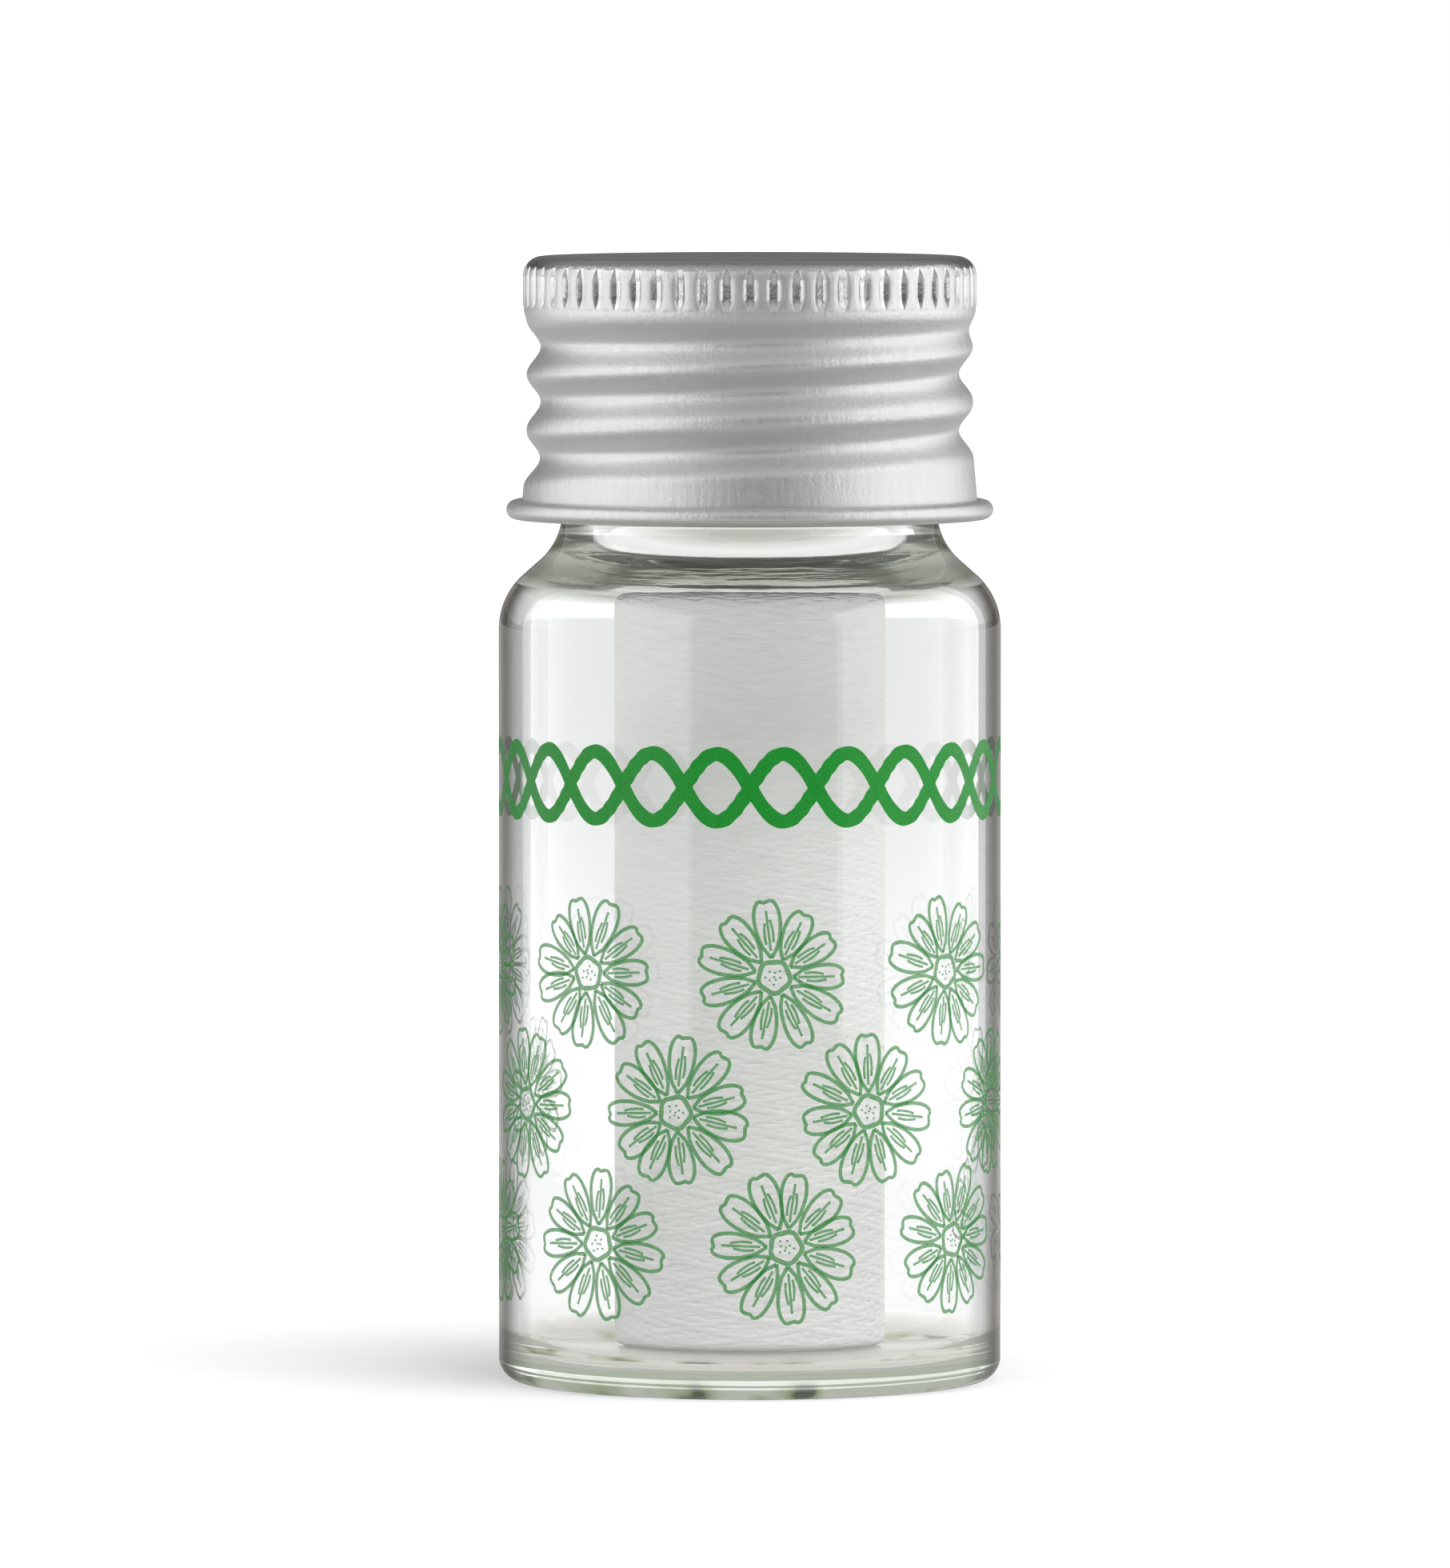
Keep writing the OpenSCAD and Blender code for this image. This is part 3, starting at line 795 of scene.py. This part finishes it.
def cap_mesh(material):
    rings = [cap_ring(cap_top, r) for r in panel_rings]
    for i in range(1, corner_steps):
        a = math.radians(90 - 90 * i / corner_steps)
        z = cap_top - cap_round + cap_round * math.sin(a)
        rings.append(cap_ring(z, knurl_r - cap_round + cap_round * math.cos(a), True, corner_crown))
    knurl_top = cap_top - cap_round
    for i in range(knurl_rows):
        z = knurl_top - (knurl_top - knurl_z - knurl_foot) * i / knurl_rows
        rings.append(cap_ring(z, knurl_r, True, knurl_crown))
    for i in range(step_rows + 1):
        z = knurl_z + knurl_foot - step_h * i / step_rows
        share = ease(i / step_rows)
        blend = lambda a, z=z, share=share: knurl_r + (shell_r(a, z) - knurl_r) * share
        rings.append(cap_ring(z, blend))
    z_from = knurl_z + knurl_foot - step_h
    z_to = cap_bottom + bead_h / 2 + bead_neck
    for i in range(1, band_rows + 1):
        z = z_from + (z_to - z_from) * i / band_rows
        rings.append(cap_ring(z, lambda a, z=z: shell_r(a, z)))
    bead_r = bead_h / 2
    for r, z in arc(bead_cx, cap_bottom + bead_r, bead_r, 140, -90, 22):
        rings.append(cap_ring(z, r))
    rings.append(cap_ring(cap_bottom + 0.02, skirt_r + 0.12))
    rings.append(cap_ring(cap_bottom + sheet_t, skirt_r - sheet_t))
    for i in range(1, inner_rows + 1):
        z = cap_bottom + sheet_t + (knurl_z - 0.05 - cap_bottom - sheet_t) * i / inner_rows
        rings.append(cap_ring(z, lambda a, z=z: shell_r(a, z) - sheet_t))
    rings.append(cap_ring(knurl_z + 0.1, shell_bore_r))
    rings.append(cap_ring(liner_z - 0.3, shell_bore_r))
    rings.append(cap_ring(liner_z, shell_bore_r - 0.3))
    rings.append(cap_ring(liner_z, liner_in))
    rings.append(cap_ring(liner_z, panel_rings[0]))
    points = [p for ring in rings for p in ring]
    sides = len(rings[0])
    faces = [(b, a, d, c) for a, b, c, d in ring_faces(0, len(rings), sides)]
    top = len(points)
    points += [(0, 0, cap_top), (0, 0, liner_z)]
    last = (len(rings) - 1) * sides
    for i in range(sides):
        j = (i + 1) % sides
        faces.append((top, i, j))
        faces.append((top + 1, last + j, last + i))
    return mesh_piece("cap_sheet", points, faces, material, 32)


# The floors of the knurl's grooves are burnished by the tool that presses them
def aluminium_material():
    material, nodes, links, shader = new_material("rolled_aluminium")
    grit = grain_of(nodes, (5200, 5200, 5200), 4)
    drawn = grain_of(nodes, (3200, 3200, 350), 3)
    both = math_node(nodes, links, "ADD", grit, drawn)
    height, radius = place_of(nodes)
    band = spread(nodes, links, height, 0.0596, 0.0598, 0, 1)
    sunk = spread(nodes, links, radius, 0.0125, 0.01256, 0.45, 0)
    pressed = math_node(nodes, links, "SUBTRACT", 1.0, math_node(nodes, links, "MULTIPLY", band, sunk))
    rough = spread(nodes, links, both, 0.6, 1.4, 0.42, 0.56)
    links.new(math_node(nodes, links, "MULTIPLY", rough, pressed), shader.inputs["Roughness"])
    relief(nodes, links, shader, both, 0.000025, 0.8)
    shader.inputs["Base Color"].default_value = (*aluminium, 1)
    shader.inputs["Metallic"].default_value = 1.0
    return material


cap_sheet = cap_mesh(aluminium_material())
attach(cap_sheet, "cap")
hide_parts("cap_shell")


# The table: a plain white sweep under the vial, which keeps the vial's shadow.
# To the lens and through the glass it is lifted to white, less where the vial stands. Through the glass it
# is also warmer there: under the vial the lower, warm lift is painted shade with a painted warm glow.
table_half = 3000
table_z = -0.02
warm_painted_glow = (1, 0.955, 0.87)
white = (1, 1, 1)


def floor_material():
    material, nodes, links, shader = new_material("white_sweep")
    shader.inputs["Roughness"].default_value = 0.9
    shader.inputs["Specular IOR Level"].default_value = 0.0
    path = nodes.new("ShaderNodeLightPath")
    glossy, through = path.outputs["Is Glossy Ray"], path.outputs["Is Transmission Ray"]
    # Painted shade in reflections: to mirror rays the floor is a darker grey, lifted only a little, not near
    # the vial
    tone = shades(nodes, links, glossy, ((0, (0.48, 0.48, 0.48)), (1, (0.2, 0.2, 0.2))))
    links.new(tone, shader.inputs["Base Color"])
    place = nodes.new("ShaderNodeTexCoord")
    reach = vector_node(nodes, links, "LENGTH", place.outputs["Object"])
    seen = spread(nodes, links, reach, 0.07, 0.35, 0.13, 0.9)
    # Painted shade and warm glow: through the glass the lift is less and warmer right under the vial
    near = spread(nodes, links, reach, 0.008, 0.03, 0.36, 0.66)
    far = spread(nodes, links, reach, 0.12, 0.6, 0.66, 0.5)
    refracted = math_node(nodes, links, "MINIMUM", near, far)
    mirrored = spread(nodes, links, reach, 0.06, 0.14, 0.0, 0.18)
    shiny = math_node(nodes, links, "MULTIPLY", glossy, path.outputs["Is Reflection Ray"])
    total = 0.0
    for ray, value in ((path.outputs["Is Camera Ray"], seen), (through, refracted), (shiny, mirrored)):
        part = math_node(nodes, links, "MULTIPLY", ray, value)
        total = math_node(nodes, links, "ADD", total, part)
    lift = nodes.new("ShaderNodeEmission")
    not_through = math_node(nodes, links, "SUBTRACT", 1.0, through)
    painted_warm_reach = math_node(nodes, links, "ADD", reach, not_through)
    links.new(shades(nodes, links, painted_warm_reach, ((0.012, warm_painted_glow), (0.04, white))), lift.inputs["Color"])
    links.new(total, lift.inputs["Strength"])
    add = nodes.new("ShaderNodeAddShader")
    links.new(shader.outputs["BSDF"], add.inputs[0])
    links.new(lift.outputs["Emission"], add.inputs[1])
    links.new(add.outputs["Shader"], nodes["Material Output"].inputs["Surface"])
    return material


table = [(x * table_half, y * table_half, table_z) for x, y in ((-1, -1), (1, -1), (1, 1), (-1, 1))]
floor = mesh_piece("floor", table, [(0, 1, 2, 3)], floor_material())


# The light: a soft box high in front on the right, which gives the shadow, and a tall white panel
# at each side, which glass and metal mirror. The room they mirror is dark low down, paler overhead.
def soft_box(name, place, aim, size, power):
    lamp = bpy.data.lights.new(name, "AREA")
    lamp.shape = "RECTANGLE"
    lamp.size, lamp.size_y = size
    lamp.energy = power
    box = bpy.data.objects.new(name, lamp)
    bpy.context.scene.collection.objects.link(box)
    box.location = place
    way = Vector(aim) - Vector(place)
    box.rotation_euler = way.to_track_quat("-Z", "Y").to_euler()
    box.visible_camera = False
    return box


key = soft_box(
    "soft_box_over", place=(0.066, -0.09, 0.53), aim=(0, 0, 0.02), size=(0.22, 0.28), power=4.0)
key.visible_glossy = False
key.visible_transmission = False
left_panel = soft_box(
    "left_panel", place=(-0.15, -0.037, 0.1), aim=(-0.009, -0.004, 0.1), size=(0.356, 0.2), power=0.24)
left_panel.visible_diffuse = False
right_panel = soft_box(
    "right_panel", place=(0.161, -0.006, 0.1), aim=(0.009, -0.004, 0.1), size=(0.344, 0.2), power=0.26)
right_panel.visible_diffuse = False


def room():
    world = bpy.data.worlds.new("room")
    bpy.context.scene.world = world
    world.use_nodes = True
    nodes, links = world.node_tree.nodes, world.node_tree.links
    back = nodes["Background"]
    place = nodes.new("ShaderNodeTexCoord")
    parts = nodes.new("ShaderNodeSeparateXYZ")
    links.new(place.outputs["Generated"], parts.inputs["Vector"])
    aside, behind, up = parts.outputs["X"], parts.outputs["Y"], parts.outputs["Z"]
    sheet = spread(nodes, links, behind, 0.93, 0.97, 0.0, 0.12)
    over_low = spread(nodes, links, up, 0.3, 0.5, 0.05, 0.62)
    over_high = spread(nodes, links, up, 0.8, 0.95, 0.62, 0.38)
    over = math_node(nodes, links, "MINIMUM", over_low, over_high)
    ahead = math_node(nodes, links, "MULTIPLY", over, spread(nodes, links, behind, 0.0, 0.3, 1.0, 0.4))
    mirrored = math_node(nodes, links, "MAXIMUM", sheet, ahead)
    through = spread(nodes, links, up, 0.35, 0.7, 1.0, 0.4)
    sideways = math_node(nodes, links, "ABSOLUTE", aside, 0.0)
    strength = spread(nodes, links, sideways, 0.1, 0.9, 0.5, 1.1)
    path = nodes.new("ShaderNodeLightPath")
    steps = ((path.outputs["Is Glossy Ray"], mirrored),
             (path.outputs["Is Transmission Ray"], through),
             (path.outputs["Is Camera Ray"], None))
    for ray, value in steps:
        pick = nodes.new("ShaderNodeMix")
        links.new(ray, pick.inputs["Factor"])
        links.new(strength, pick.inputs["A"])
        if value is None:
            pick.inputs["B"].default_value = 1.0
        else:
            links.new(value, pick.inputs["B"])
        strength = pick.outputs["Result"]
    links.new(strength, back.inputs["Strength"])
    back.inputs["Color"].default_value = (1, 1, 1, 1)


room()
bpy.context.scene.view_settings.view_transform = "Standard"

# The camera: a long lens nine tenths of a metre in front, just over the cap and tipped down.
lens_mm = 371.5
lens_place = (-0.00138, -0.900, 0.082)
lens_tip = 3.1
lens = bpy.data.cameras.new("camera")
lens.lens = lens_mm
lens.clip_start = 0.05
lens.clip_end = 20
camera = bpy.data.objects.new("camera", lens)
bpy.context.scene.collection.objects.link(camera)
camera.location = lens_place
camera.rotation_euler = (math.radians(90 - lens_tip), 0, 0)
bpy.context.scene.camera = camera
